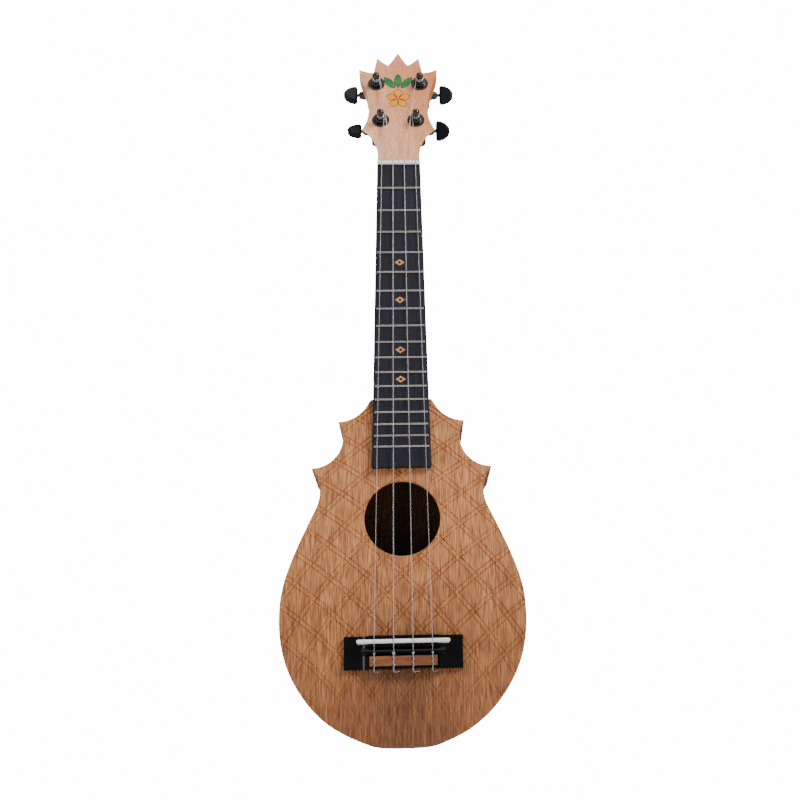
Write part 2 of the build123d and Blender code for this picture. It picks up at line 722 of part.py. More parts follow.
def worm_wheel():
    """Helical wheel whose teeth follow the worm's lead."""
    root_r = WHEEL_R - 1.1 * MODULE
    tip_r = WHEEL_R + 0.7 * MODULE
    half = TOOTH_SHARE * WORM_PITCH / 2
    sketch = Circle(root_r)
    for tooth in range(WHEEL_TEETH):
        corners = [(root_r - 0.3, half + 0.22), (WHEEL_R, half), (tip_r, half - 0.13)]
        outline = corners + [(x, -y) for x, y in reversed(corners)]
        flank = make_face(Polyline(*outline, close=True))
        sketch += Rot(0, 0, 90 + (tooth + 0.5) * 360 / WHEEL_TEETH) * flank
    sketch -= Circle(WHEEL_STUB_R)
    lead = WORM_PITCH / (2 * pi * WORM_PITCH_R)
    twist = WHEEL_W * lead / WHEEL_R * 180 / pi
    face = Pos(0, 0, AXLE_H - WHEEL_W / 2) * Rot(0, 0, -twist / 2) * sketch
    wheel = Solid.extrude_linear_with_rotation(face.face(), (0, 0, AXLE_H - WHEEL_W / 2), (0, 0, WHEEL_W), twist)
    return wheel


def worm_shaft():
    """Worm, its shaft through the sleeve and the journal at its inner end."""
    height = WORM_TURNS * WORM_PITCH
    core_r = WORM_PITCH_R - 0.9 * MODULE
    tip_r = WORM_PITCH_R + 0.8 * MODULE
    half = TOOTH_SHARE * WORM_PITCH / 2
    helix = Helix(pitch=WORM_PITCH, height=height, radius=WORM_PITCH_R)
    section = Polyline((core_r - 0.1, -half - 0.16), (tip_r, -half + 0.15), (tip_r, half - 0.15),
                       (core_r - 0.1, half + 0.16), close=True)
    thread = sweep(Plane.XZ * make_face(section), path=helix, is_frenet=True)
    thread = Pos(0, 0, -height / 2) * thread
    place = Plane(origin=(0, AXLE_OFFSET, AXLE_H), x_dir=(0, -1, 0), z_dir=(1, 0, 0))
    shaft = axle(-height / 2 - 2.4, height / 2 + 1.0, core_r) + axle(height / 2 + 1.0, BUTTON_START + 7, AXLE_R)
    shaft += axle(SLEEVE_END + 0.15, SLEEVE_END + 0.75, AXLE_R + 0.7)
    shaft -= axle(BUTTON_START + 1.5, BUTTON_START + 8, 0.8)
    return shaft + place * thread


def housing():
    """Die-cast case with its sleeve, bored for the post and the worm and open at the back."""
    top, back = -HEAD_T, -HEAD_T - HOUSING_D
    shell = Pos(1.0, 1.6, 0) * RectangleRounded(15.0, 17.0, 4.0)
    case = Pos(0, 0, back) * extrude(shell, amount=HOUSING_D)
    case = fillet(case.edges().filter_by(Plane.XY).sort_by(Axis.Z)[-8:], 0.4)
    sleeve = Pos((SLEEVE_START + SLEEVE_END) / 2, AXLE_OFFSET, AXLE_H) * Rot(0, 90, 0) * Cone(
        SLEEVE_R[0], SLEEVE_R[1], SLEEVE_END - SLEEVE_START)
    lug = rod(0, LUG_AT, top - LUG_T, top, LUG_R) + Pos(0, LUG_AT / 2 - 2, top - LUG_T / 2) * Box(
        2 * LUG_R, -LUG_AT - 4, LUG_T)
    collar = rod(0, 0, top, top + 3.5, BUSHING_R)
    case += sleeve + lug + collar
    case -= rod(0, 0, back - 1, top + 4, POST_R + RUNNING_GAP)
    case -= rod(0, 0, back - 1, AXLE_H + WHEEL_W / 2 + 0.3, WHEEL_R + 0.7 * MODULE + 0.4)
    worm_half = WORM_TURNS * WORM_PITCH / 2 + 0.4
    room = WORM_PITCH_R + 0.8 * MODULE + 0.3
    case -= axle(-worm_half, worm_half, room)
    pocket = Pos(0, AXLE_OFFSET, (AXLE_H + back - 1) / 2) * Box(2 * worm_half, 2 * room, AXLE_H - back + 1)
    case -= pocket
    case -= axle(-worm_half - 2.4, 0, WORM_PITCH_R - 0.9 * MODULE + RUNNING_GAP)
    case -= axle(0, SLEEVE_END + 1, AXLE_R + RUNNING_GAP)
    return case - rod(0, LUG_AT, top - LUG_T - 1, top + 1, SCREW_R + RUNNING_GAP)


def cover():
    """Plate that closes the case at the back."""
    back = -HEAD_T - HOUSING_D
    plate = Pos(1.0, 1.6, back - COVER_T) * extrude(RectangleRounded(15.0, 17.0, 4.0), amount=COVER_T)
    return chamfer(plate.faces().sort_by(Axis.Z)[0].edges(), 0.6)


def mounting_screw():
    """Small screw through the case's lug into the headstock."""
    seat = -HEAD_T - LUG_T
    head = rod(0, LUG_AT, seat - 1.3, seat, 1.8)
    head = fillet(head.edges().sort_by(Axis.Z)[0], 0.5)
    slot = Pos(0, LUG_AT, seat - 1.3) * (Box(2.4, 0.5, 1.0) + Box(0.5, 2.4, 1.0))
    return head + rod(0, LUG_AT, seat, seat + SCREW_L, SCREW_R) - slot


def button(name):
    """Half-moon button turned on its shaft, flat side inwards."""
    arc = EllipticalCenterArc((0, 0), BUTTON_W, BUTTON_HALF_H, start_angle=-90, arc_size=180)
    sketch = make_face([arc, Line((0, BUTTON_HALF_H), (0, -BUTTON_HALF_H))])
    sketch = fillet(sketch.vertices(), 2.2)
    knob = Pos(0, 0, -BUTTON_T / 2) * extrude(sketch, amount=BUTTON_T)
    knob = fillet(knob.edges().filter_by(Plane.XY), 1.7)
    knob = Pos(BUTTON_START, AXLE_OFFSET, AXLE_H) * Rot(BUTTON_TURN[name], 0, 0) * knob
    knob -= axle(BUTTON_START - 1, BUTTON_START + 7, AXLE_R)
    knob -= axle(BUTTON_START + 7, BUTTON_START + BUTTON_W, 0.9)
    return knob - axle(BUTTON_START + BUTTON_W - 1.6, BUTTON_START + BUTTON_W + 1, BUTTON_SCREW_R + 0.2)


def button_screw():
    """Screw that holds the button on its shaft."""
    seat = BUTTON_START + BUTTON_W - 1.6
    head = axle(seat, seat + 1.1, BUTTON_SCREW_R)
    slot = Pos(seat + 1.1, AXLE_OFFSET, AXLE_H) * (Box(1.0, 2.2, 0.5) + Box(1.0, 0.5, 2.2))
    return head + axle(BUTTON_START + 2, seat, 0.8) - slot


def winding(name):
    """Turns of string on the post, stacked over the place where it arrives."""
    r = STRING_R[name]
    pitch = 2 * r + SLOT_CLEARANCE
    turn = Torus(WAIST_R + r + SLOT_CLEARANCE, r)
    heights = [STRING_ARRIVES + (count + 1) * pitch for count in range(WRAPS)]
    return Compound(children=[at_post(name, Pos(0, 0, height) * turn) for height in heights])


# ---- build ---------------------------------------------------------------------
def fixed_pieces():
    """Everything that is glued or screwed to the body and the neck."""
    outline = body_outline()
    back_seat = -BODY_DEPTH + BACK_T
    pieces = {
        "soundboard": soundboard(outline),
        "back_plate": back_plate(outline),
        "neck_block": neck_block(outline),
        "tail_block": tail_block(outline),
        "top_linings": linings(outline, -TOP_T - LINING_H, -TOP_T),
        "back_linings": linings(outline, back_seat, back_seat + LINING_H),
        "upper_brace": cross_brace(outline, UPPER_BRACE_AT, BRACE_H, -TOP_T),
        "lower_brace": cross_brace(outline, LOWER_BRACE_AT, BRACE_H, -TOP_T),
        "back_braces": Compound(children=[
            cross_brace(outline, at, BACK_BRACE_H, back_seat) for at in BACK_BRACES_AT]),
        "fan_braces": fan_braces(),
        "bridge_plate": bridge_plate(),
        "back_strip": back_strip(),
        "neck": neck(),
        "neck_dowels": dowels(),
        "heel_cap": heel_cap(),
        "fretboard": fretboard(),
        "frets": frets(),
        "fret_markers": fret_markers(),
        "fret_marker_dots": fret_marker_dots(),
        "nut": nut(),
        "saddle": saddle(),
        "bridge": bridge(),
        "tie_block_inlay": tie_block_inlay(),
        "emblem_petals": emblem_petals(),
        "emblem_leaves": emblem_leaves(),
    }
    pieces.update(sides(outline))
    pieces.update({f"string_{name}": string(name) for name in STRINGS})
    for node, piece in (("tuner_washers", washer()), ("tuner_bushings", bushing()),
                        ("tuner_housings", housing()), ("tuner_covers", cover()),
                        ("tuner_screws", mounting_screw())):
        pieces[node] = Compound(children=[at_post(name, piece) for name in STRINGS])
    return pieces


def moving_pieces():
    """Each tuner's key group and post group."""
    post, wheel, shaft, screw = string_post(), worm_wheel(), worm_shaft(), button_screw()
    pieces = {}
    for name in STRINGS:
        pieces[f"string_post_{name}"] = at_post(name, post)
        pieces[f"worm_wheel_{name}"] = at_post(name, wheel)
        pieces[f"winding_{name}"] = winding(name)
        pieces[f"worm_shaft_{name}"] = at_post(name, shaft)
        pieces[f"button_{name}"] = at_post(name, button(name))
        pieces[f"button_screw_{name}"] = at_post(name, screw)
    return pieces


def main():
    """Write every piece to its own STEP file."""
    os.makedirs("parts", exist_ok=True)
    for node, shape in {**fixed_pieces(), **moving_pieces()}.items():
        export_step(shape, f"parts/{node}.step")


if __name__ == "__main__":
    main()
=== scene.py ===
"""A long-neck soprano ukulele with a scalloped pineapple body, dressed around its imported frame."""

import json
import logging
import math
from dataclasses import dataclass
from enum import Enum
from typing import ClassVar

import bmesh
import bpy
from mathutils import Matrix, Vector

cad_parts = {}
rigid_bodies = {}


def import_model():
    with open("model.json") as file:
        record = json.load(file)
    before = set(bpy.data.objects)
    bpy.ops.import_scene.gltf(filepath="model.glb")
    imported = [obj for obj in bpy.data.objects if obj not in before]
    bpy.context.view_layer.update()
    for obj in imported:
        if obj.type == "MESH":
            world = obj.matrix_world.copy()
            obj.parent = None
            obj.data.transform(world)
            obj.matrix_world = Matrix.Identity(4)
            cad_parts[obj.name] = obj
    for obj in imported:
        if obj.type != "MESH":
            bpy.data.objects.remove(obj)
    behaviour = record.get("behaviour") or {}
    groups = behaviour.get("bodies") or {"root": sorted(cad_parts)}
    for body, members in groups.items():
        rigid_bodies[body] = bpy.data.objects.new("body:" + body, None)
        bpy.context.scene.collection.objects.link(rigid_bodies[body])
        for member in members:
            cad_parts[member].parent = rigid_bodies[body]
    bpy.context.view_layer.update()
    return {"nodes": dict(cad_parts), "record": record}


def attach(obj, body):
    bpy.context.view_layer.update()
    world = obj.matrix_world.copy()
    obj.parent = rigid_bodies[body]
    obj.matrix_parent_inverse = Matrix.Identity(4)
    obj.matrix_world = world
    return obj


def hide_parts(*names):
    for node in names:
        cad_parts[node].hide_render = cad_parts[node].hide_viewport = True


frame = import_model()

LOG = logging.getLogger("ukulele")
ROOT = "instrument"
STRING_NAMES = ("g", "c", "e", "a")
MERGE_DISTANCE = 1e-6
STRAND_CREASE = 40.0
JOINED_CREASE = 50.0
FACING_FRONT = -1.0

Colour = tuple[float, float, float]


class Grain(Enum):
    """The way a board's grain runs."""

    UP_THE_NECK = (1.0, 1.0, 0.075)
    ACROSS = (0.075, 1.0, 1.0)
    ROUND_THE_SIDES = (0.075, 1.0, 0.075)


# ---- finishes -------------------------------------------------------------------
class MaterialBook:
    """Writes one material's node tree a node at a time."""

    def __init__(self, name: str) -> None:
        """Start a material.

        Args:
            name: the material's name.
        """
        self.material = bpy.data.materials.new(name)
        self.material.use_nodes = True
        self.tree = self.material.node_tree
        self.shader = self.tree.nodes["Principled BSDF"]

    def add(self, kind: str, **settings: object) -> bpy.types.Node:
        """Add a node and set its properties by name.

        Args:
            kind: the node's type name.
            **settings: property values.

        Returns:
            The new node.
        """
        node = self.tree.nodes.new(kind)
        for key, value in settings.items():
            setattr(node, key, value)
        return node

    def join(self, source: bpy.types.NodeSocket, target: bpy.types.NodeSocket) -> None:
        """Link two sockets."""
        self.tree.links.new(source, target)

    def place(self, stretch: tuple[float, float, float] = (1, 1, 1)) -> bpy.types.NodeSocket:
        """Object coordinates, stretched.

        Args:
            stretch: scale of each axis.

        Returns:
            The vector socket.
        """
        mapping = self.add("ShaderNodeMapping")
        mapping.inputs["Scale"].default_value = stretch
        self.join(self.add("ShaderNodeTexCoord").outputs["Object"], mapping.inputs["Vector"])
        return mapping.outputs["Vector"]

    def noise(self, where: bpy.types.NodeSocket, scale: float, detail: float = 4.0,
              distortion: float = 0.0) -> bpy.types.NodeSocket:
        """A noise pattern.

        Args:
            where: coordinates.
            scale: waves per metre.
            detail: octaves.
            distortion: how far the pattern is warped.

        Returns:
            The factor socket.
        """
        node = self.add("ShaderNodeTexNoise")
        node.inputs["Scale"].default_value = scale
        node.inputs["Detail"].default_value = detail
        node.inputs["Distortion"].default_value = distortion
        self.join(where, node.inputs["Vector"])
        return node.outputs["Fac"]

    def window(self, value: bpy.types.NodeSocket, low: float, high: float, start: float = 0.0,
               end: float = 1.0) -> bpy.types.NodeSocket:
        """Stretch the part of a value between two limits.

        Args:
            value: what to stretch.
            low: value that gives start.
            high: value that gives end.
            start: result at low.
            end: result at high.

        Returns:
            The result socket.
        """
        node = self.add("ShaderNodeMapRange", clamp=True)
        sockets = ("From Min", "From Max", "To Min", "To Max")
        for socket, number in zip(sockets, (low, high, start, end)):
            node.inputs[socket].default_value = number
        self.join(value, node.inputs["Value"])
        return node.outputs["Result"]

    def blend(self, share: bpy.types.NodeSocket, first: object, second: object,
              mode: str = "MIX") -> bpy.types.NodeSocket:
        """Mix two colours.

        Args:
            share: how much of the second.
            first: a colour or a socket.
            second: a colour or a socket.
            mode: blend mode.

        Returns:
            The colour socket.
        """
        node = self.add("ShaderNodeMix", data_type="RGBA", blend_type=mode)
        self.join(share, node.inputs[0])
        for socket, value in ((node.inputs[6], first), (node.inputs[7], second)):
            if isinstance(value, bpy.types.NodeSocket):
                self.join(value, socket)
            else:
                socket.default_value = (*value, 1.0)
        return node.outputs[2]

    def axis(self, name: str) -> bpy.types.NodeSocket:
        """One object coordinate, X, Y or Z."""
        split = self.add("ShaderNodeSeparateXYZ")
        self.join(self.add("ShaderNodeTexCoord").outputs["Object"], split.inputs[0])
        return split.outputs[name]

    def relief(self, height: bpy.types.NodeSocket, depth: float, strength: float) -> None:
        """Raise and lower the surface's shading.

        Args:
            height: pattern of heights.
            depth: height of a full step, in metres.
            strength: share of the effect.
        """
        bump = self.add("ShaderNodeBump")
        bump.inputs["Distance"].default_value = depth
        bump.inputs["Strength"].default_value = strength
        self.join(height, bump.inputs["Height"])
        self.join(bump.outputs["Normal"], self.shader.inputs["Normal"])


@dataclass(frozen=True)
class WoodFinish:
    """A board's colours, its streaks, its pores, its sheen and any painted shade."""

    name: str
    light: Colour
    dark: Colour
    pore: Colour
    pore_share: float = 0.5
    streaks: float = 850.0
    pores: float = 2100.0
    roughness: float = 0.5
    relief_depth: float = 0.00012
    coat: float = 0.0
    grain: Grain = Grain.UP_THE_NECK
    fades: tuple[tuple[str, float, float, Colour], ...] = ()
    painted_inner_shade: tuple[float, float] | None = None
    painted_centre_shade: float | None = None
    specular: float = 0.4

    BAND_SCALE: ClassVar[float] = 0.2
    BAND_EDGES: ClassVar[tuple[float, float]] = (0.35, 0.7)
    BAND_WEIGHT: ClassVar[float] = 0.55
    STREAK_EDGES: ClassVar[tuple[float, float]] = (0.36, 0.64)
    SHEEN_EDGES: ClassVar[tuple[float, float]] = (0.3, 0.7)
    SHEEN_SPREAD: ClassVar[tuple[float, float]] = (-0.06, 0.08)
    PORE_LENGTH: ClassVar[float] = 0.45
    PORE_EDGES: ClassVar[tuple[float, float]] = (0.52, 0.6)
    # where the painted centre shade lies across and down the top
    CENTRE_SHADE_ASIDE: ClassVar[tuple[float, float]] = (0.052, 0.008)
    CENTRE_SHADE_DOWN: ClassVar[tuple[float, float]] = (-0.33, -0.405)
    INNER_SHADE_STEP: ClassVar[float] = 0.0002
    COAT_ROUGHNESS: ClassVar[float] = 0.2
    RELIEF_STRENGTH: ClassVar[float] = 0.6

    def shaded(self, book: MaterialBook, colour: bpy.types.NodeSocket) -> bpy.types.NodeSocket:
        """Darken the colour along each fade, and paint shade round the top's lower centre and on the
        back's inner face.

        Args:
            book: the material being written.
            colour: the grain's colour.

        Returns:
            The shaded colour.
        """
        # each fade multiplies in a tint along one axis; the fades on the top, the sides' lower edge and
        # the headstock's right side are painted shade
        for axis, low, high, tint in self.fades:
            colour = book.blend(book.window(book.axis(axis), low, high), colour, tint, "MULTIPLY")
        # painted shade round the lower centre of the top, by the bridge
        if self.painted_centre_shade:
            aside = book.add("ShaderNodeMath", operation="ABSOLUTE")
            book.join(book.axis("X"), aside.inputs[0])
            both = book.add("ShaderNodeMath", operation="MULTIPLY")
            book.join(book.window(aside.outputs[0], *self.CENTRE_SHADE_ASIDE), both.inputs[0])
            book.join(book.window(book.axis("Z"), *self.CENTRE_SHADE_DOWN), both.inputs[1])
            colour = book.blend(both.outputs[0], colour, (self.painted_centre_shade,) * 3, "MULTIPLY")
        # painted shade on the back's inner face, which darkens the sound hole
        if self.painted_inner_shade:
            edge, shade = self.painted_inner_shade
            inner = book.window(book.axis("Y"), edge, edge - self.INNER_SHADE_STEP)
            colour = book.blend(inner, colour, (shade, shade, shade * 0.8), "MULTIPLY")
        return colour

    def material(self) -> bpy.types.Material:
        """Build the node tree.

        Returns:
            The material.
        """
        book = MaterialBook(self.name)
        along = book.place(self.grain.value)
        drawn_out = book.place(tuple(self.PORE_LENGTH * share if share < 1 else share
                                     for share in self.grain.value))
        band = book.noise(along, self.streaks * self.BAND_SCALE, 3.0, 0.6)
        streak = book.noise(along, self.streaks, 5.0, 0.3)
        dash = book.noise(drawn_out, self.pores, 2.0)
        colour = book.blend(book.window(streak, *self.STREAK_EDGES), self.light, self.dark)
        bands = book.window(band, *self.BAND_EDGES, 0.0, self.BAND_WEIGHT)
        colour = book.blend(bands, colour, self.dark)
        pore = book.window(dash, *self.PORE_EDGES, 0.0, self.pore_share)
        colour = self.shaded(book, book.blend(pore, colour, self.pore))
        book.join(colour, book.shader.inputs["Base Color"])
        smooth, rough = (self.roughness + step for step in self.SHEEN_SPREAD)
        book.join(book.window(streak, *self.SHEEN_EDGES, smooth, rough),
                  book.shader.inputs["Roughness"])
        book.shader.inputs["Specular IOR Level"].default_value = self.specular
        book.shader.inputs["Coat Weight"].default_value = self.coat
        book.shader.inputs["Coat Roughness"].default_value = self.COAT_ROUGHNESS
        ridges = book.blend(book.window(streak, *self.SHEEN_EDGES), (0.55,) * 3, (1.0,) * 3)
        book.relief(book.blend(pore, ridges, (0.0,) * 3), self.relief_depth, self.RELIEF_STRENGTH)
        return book.material


@dataclass(frozen=True)
class HardFinish:
    """A moulded, lacquered or metal surface with a faint mottle and fine handling marks."""

    name: str
    colour: Colour
    second: Colour
    roughness: float
    metallic: float = 0.0
    coat: float = 0.0
    mottle: float = 900.0
    relief_depth: float = 0.00002
    clearness: float = 0.0
    stretch: tuple[float, float, float] = (1.0, 1.0, 1.0)
    specular: float = 0.5

    CLOUD_SCALE: ClassVar[float] = 0.12
    CLOUD_EDGES: ClassVar[tuple[float, float]] = (0.35, 0.65)
    MARK_EDGES: ClassVar[tuple[float, float]] = (0.3, 0.7)
    MARK_SPREAD: ClassVar[tuple[float, float]] = (0.8, 1.25)
    COAT_ROUGHNESS: ClassVar[float] = 0.06
    REFRACTION: ClassVar[float] = 1.5
    RELIEF_STRENGTH: ClassVar[float] = 0.4

    def material(self) -> bpy.types.Material:
        """Build the node tree.

        Returns:
            The material.
        """
        book = MaterialBook(self.name)
        where = book.place(self.stretch)
        cloud = book.noise(where, self.mottle * self.CLOUD_SCALE, 3.0)
        fine = book.noise(where, self.mottle, 4.0)
        book.join(book.blend(book.window(cloud, *self.CLOUD_EDGES), self.colour, self.second),
                  book.shader.inputs["Base Color"])
        smooth, rough = (self.roughness * share for share in self.MARK_SPREAD)
        book.join(book.window(fine, *self.MARK_EDGES, smooth, rough),
                  book.shader.inputs["Roughness"])
        book.shader.inputs["Metallic"].default_value = self.metallic
        book.shader.inputs["Specular IOR Level"].default_value = self.specular
        book.shader.inputs["Coat Weight"].default_value = self.coat
        book.shader.inputs["Coat Roughness"].default_value = self.COAT_ROUGHNESS
        book.shader.inputs["Transmission Weight"].default_value = self.clearness
        book.shader.inputs["IOR"].default_value = self.REFRACTION
        book.relief(fine, self.relief_depth, self.RELIEF_STRENGTH)
        return book.material


Finish = WoodFinish | HardFinish

FINISHES: dict[str, Finish] = {finish.name: finish for finish in (
    # painted shade: the top darkens towards the bottom of the body, where the light falls off, with
    # more painted shade round its lower centre
    WoodFinish("acacia_top", (0.75, 0.33, 0.115), (0.33, 0.105, 0.031), (0.09, 0.026, 0.008), 0.65,
               fades=(("Z", -0.3, -0.45, (0.57, 0.5, 0.46)),), painted_centre_shade=0.6),
    # painted shade: the sides darken along their lower edge, where the underside lies in shade
    WoodFinish("acacia_body", (0.33, 0.125, 0.05), (0.17, 0.055, 0.022), (0.05, 0.016, 0.008), 0.6,
               roughness=0.62, specular=0.25, grain=Grain.ROUND_THE_SIDES,
               fades=(("Z", -0.43, -0.452, (0.45, 0.38, 0.4)),)),
    # painted shade: the first fade darkens the headstock's right side, where less light falls; the
    # second darkens it towards its top
    WoodFinish("pale_neck_wood", (0.95, 0.56, 0.34), (0.8, 0.4, 0.215), (0.4, 0.16, 0.08), 0.45,
               streaks=420.0, roughness=0.52, relief_depth=0.00004, specular=0.2,
               fades=(("X", -0.022, 0.03, (0.86, 0.6, 0.44)),
                      ("Z", 0.025, 0.085, (0.84, 0.7, 0.62)))),
    # the back's inner face gets a painted shade so the sound hole reads dark
    WoodFinish("acacia_back", (0.33, 0.125, 0.05), (0.17, 0.055, 0.022), (0.05, 0.016, 0.008), 0.6,
               roughness=0.62, painted_inner_shade=(0.0602, 0.5)),
    # painted shade: the wood inside the body is near black so the sound hole reads dark
    WoodFinish("inner_wood", (0.07, 0.035, 0.014), (0.04, 0.018, 0.008), (0.015, 0.007, 0.003), 0.4,
               roughness=0.8),
    WoodFinish("black_board", (0.0145, 0.0145, 0.025), (0.008, 0.008, 0.014), (0.002, 0.002, 0.004),
               0.6, roughness=0.55, relief_depth=0.00005, specular=0.2),
    WoodFinish("marker_wood", (0.72, 0.34, 0.12), (0.5, 0.2, 0.065), (0.25, 0.09, 0.03), 0.4,
               streaks=900.0),
    WoodFinish("inlay_wood", (0.36, 0.125, 0.034), (0.13, 0.036, 0.01), (0.04, 0.012, 0.005), 0.6,
               streaks=700.0, grain=Grain.ACROSS, roughness=0.4, coat=0.2),
    HardFinish("fret_wire", (0.42, 0.385, 0.36), (0.33, 0.3, 0.28), 0.24, metallic=1.0,
               stretch=(0.1, 1.0, 1.0)),
    HardFinish("white_bone", (0.93, 0.88, 0.85), (0.85, 0.79, 0.77), 0.4, coat=0.2),
    HardFinish("black_gloss", (0.001, 0.001, 0.0012), (0.002, 0.002, 0.0025), 0.14,
               relief_depth=0.000004, specular=0.32),
    HardFinish("petal_yellow", (0.86, 0.29, 0.002), (0.7, 0.19, 0.001), 0.55, relief_depth=0.00004,
               specular=0.15),
    HardFinish("leaf_green", (0.008, 0.11, 0.03), (0.02, 0.19, 0.05), 0.55, relief_depth=0.00004,
               specular=0.15),
    HardFinish("clear_string", (0.84, 0.8, 0.85), (0.9, 0.87, 0.9), 0.25, clearness=0.82,
               stretch=(1.0, 1.0, 0.05)),
    HardFinish("black_metal", (0.003, 0.003, 0.004), (0.006, 0.006, 0.008), 0.26, coat=0.3,
               relief_depth=0.000006),
    HardFinish("black_button", (0.0025, 0.0025, 0.005), (0.005, 0.005, 0.009), 0.34,
               relief_depth=0.000008, specular=0.16),
    HardFinish("wheel_brass", (0.66, 0.42, 0.13), (0.55, 0.32, 0.09), 0.28, metallic=1.0),
    HardFinish("inlay_line", (0.02, 0.012, 0.008), (0.035, 0.02, 0.012), 0.5, specular=0.2),
)}


class Paintbox:
    """Makes each finish once and puts it on pieces."""

    def __init__(self) -> None:
        """Start with nothing made."""
        self.made: dict[str, bpy.types.Material] = {}

    def get(self, name: str) -> bpy.types.Material:
        """The material of a finish, made on first use.

        Args:
            name: the finish's name.

        Returns:
            The material.
        """
        if name not in self.made:
            self.made[name] = FINISHES[name].material()
        return self.made[name]

    def dress(self, piece: bpy.types.Object, name: str) -> None:
        """Put a finish on every material slot of a piece.

        Args:
            piece: the piece.
            name: the finish's name.
        """
        if not piece.material_slots:
            piece.data.materials.append(None)
        for place in piece.material_slots:
            place.material = self.get(name)


# ---- geometry trees ---------------------------------------------------------------
class GeometryTree:
    """Writes one Geometry Nodes tree with named inputs and runs it into a plain mesh."""

    KINDS = {"float": "NodeSocketFloat", "int": "NodeSocketInt", "material": "NodeSocketMaterial",
             "object": "NodeSocketObject"}

    def __init__(self, name: str, inputs: dict[str, str]) -> None:
        """Start a tree.

        Args:
            name: the tree's name.
            inputs: kind of each named input.
        """
        self.tree = bpy.data.node_groups.new(name, "GeometryNodeTree")
        self.ids: dict[str, str] = {}
        for label, kind in inputs.items():
            socket = self.tree.interface.new_socket(label, in_out="INPUT", socket_type=self.KINDS[kind])
            self.ids[label] = socket.identifier
        self.tree.interface.new_socket("Geometry", in_out="OUTPUT", socket_type="NodeSocketGeometry")
        self.inputs = self.tree.nodes.new("NodeGroupInput")

    def add(self, kind: str, links: dict[object, object] | None = None,
            **settings: object) -> bpy.types.Node:
        """Add a node, set its properties and feed its inputs.

        Args:
            kind: the node's type name.
            links: a socket or a value for each input, by name or number.
            **settings: property values.

        Returns:
            The new node.
        """
        node = self.tree.nodes.new(kind)
        for key, value in settings.items():
            setattr(node, key, value)
        for key, value in (links or {}).items():
            if isinstance(value, bpy.types.NodeSocket):
                self.tree.links.new(value, node.inputs[key])
            else:
                node.inputs[key].default_value = value
        return node

    def given(self, label: str) -> bpy.types.NodeSocket:
        """The socket of a named input."""
        return self.inputs.outputs[label]

    def sum(self, operation: str, first: object, second: object = 0.0) -> bpy.types.NodeSocket:
        """One arithmetic step.

        Args:
            operation: such as ADD or MULTIPLY.
            first: a number or a socket.
            second: a number or a socket.

        Returns:
            The result socket.
        """
        return self.add("ShaderNodeMath", {0: first, 1: second}, operation=operation).outputs[0]

    def close(self, geometry: bpy.types.NodeSocket, material: bpy.types.NodeSocket) -> None:
        """End the tree with real geometry and its material.

        Args:
            geometry: the finished shape.
            material: its material.
        """
        real = self.add("GeometryNodeRealizeInstances", {"Geometry": geometry}).outputs[0]
        dressed = self.add("GeometryNodeSetMaterial",
                           {"Geometry": real, "Material": material}).outputs[0]
        end = self.tree.nodes.new("NodeGroupOutput")
        self.tree.links.new(dressed, end.inputs[0])

    def run(self, name: str, values: dict[str, object]) -> bpy.types.Object:
        """Evaluate the tree with given sizes.

        Args:
            name: name of the new piece.
            values: a value for each named input.

        Returns:
            A plain mesh object at the origin.
        """
        carrier = new_piece(name + "_carrier", bpy.data.meshes.new(name + "_carrier"))
        modifier = carrier.modifiers.new("tree", "NODES")
        modifier.node_group = self.tree
        for label, value in values.items():
            modifier[self.ids[label]] = value
        bpy.context.view_layer.update()
        graph = bpy.context.evaluated_depsgraph_get()
        mesh = bpy.data.meshes.new_from_object(carrier.evaluated_get(graph))
        carrier.modifiers.clear()
        bpy.data.objects.remove(carrier)
        return new_piece(name, mesh)


def new_piece(name: str, mesh: bpy.types.Mesh) -> bpy.types.Object:
    """Link a new object at the origin.

    Args:
        name: the object's name.
        mesh: its mesh.

    Returns:
        The object.
    """
    piece = bpy.data.objects.new(name, mesh)
    bpy.context.scene.collection.objects.link(piece)
    return piece


def tidy_shell(piece: bpy.types.Object, sharp: float | None = None) -> None:
    """Merge doubles, turn faces outwards and shade.

    Args:
        piece: a closed piece.
        sharp: angle over which an edge stays crisp, in degrees; None leaves flat faces.
    """
    shell = bmesh.new()
    shell.from_mesh(piece.data)
    bmesh.ops.remove_doubles(shell, verts=shell.verts, dist=MERGE_DISTANCE)
    bmesh.ops.recalc_face_normals(shell, faces=shell.faces)
    shell.to_mesh(piece.data)
    shell.free()
    if sharp is not None:
        piece.data.shade_smooth()
        piece.data.set_sharp_from_angle(angle=math.radians(sharp))


def tube(name: str, points: list[Vector], radius: float, closed: bool = False) -> bpy.types.Object:
    """A round strand along smooth points.

    Args:
        name: the piece's name.
        points: control points.
        radius: the strand's radius.
        closed: whether it joins itself.

    Returns:
        The piece as a mesh.
    """
    curve = bpy.data.curves.new(name, "CURVE")
    curve.dimensions = "3D"
    curve.bevel_depth = radius
    curve.bevel_resolution = 3
    curve.resolution_u = 4
    curve.use_fill_caps = True
    spline = curve.splines.new("NURBS")
    spline.points.add(len(points) - 1)
    for place, point in zip(spline.points, points):
        place.co = (*point, 1.0)
    spline.use_cyclic_u = closed
    spline.order_u = 3
    spline.use_endpoint_u = not closed
    carrier = bpy.data.objects.new(name + "_curve", curve)
    bpy.context.scene.collection.objects.link(carrier)
    bpy.context.view_layer.update()
    mesh = bpy.data.meshes.new_from_object(carrier.evaluated_get(bpy.context.evaluated_depsgraph_get()))
    bpy.data.objects.remove(carrier)
    piece = new_piece(name, mesh)
    tidy_shell(piece, STRAND_CREASE)
    return piece


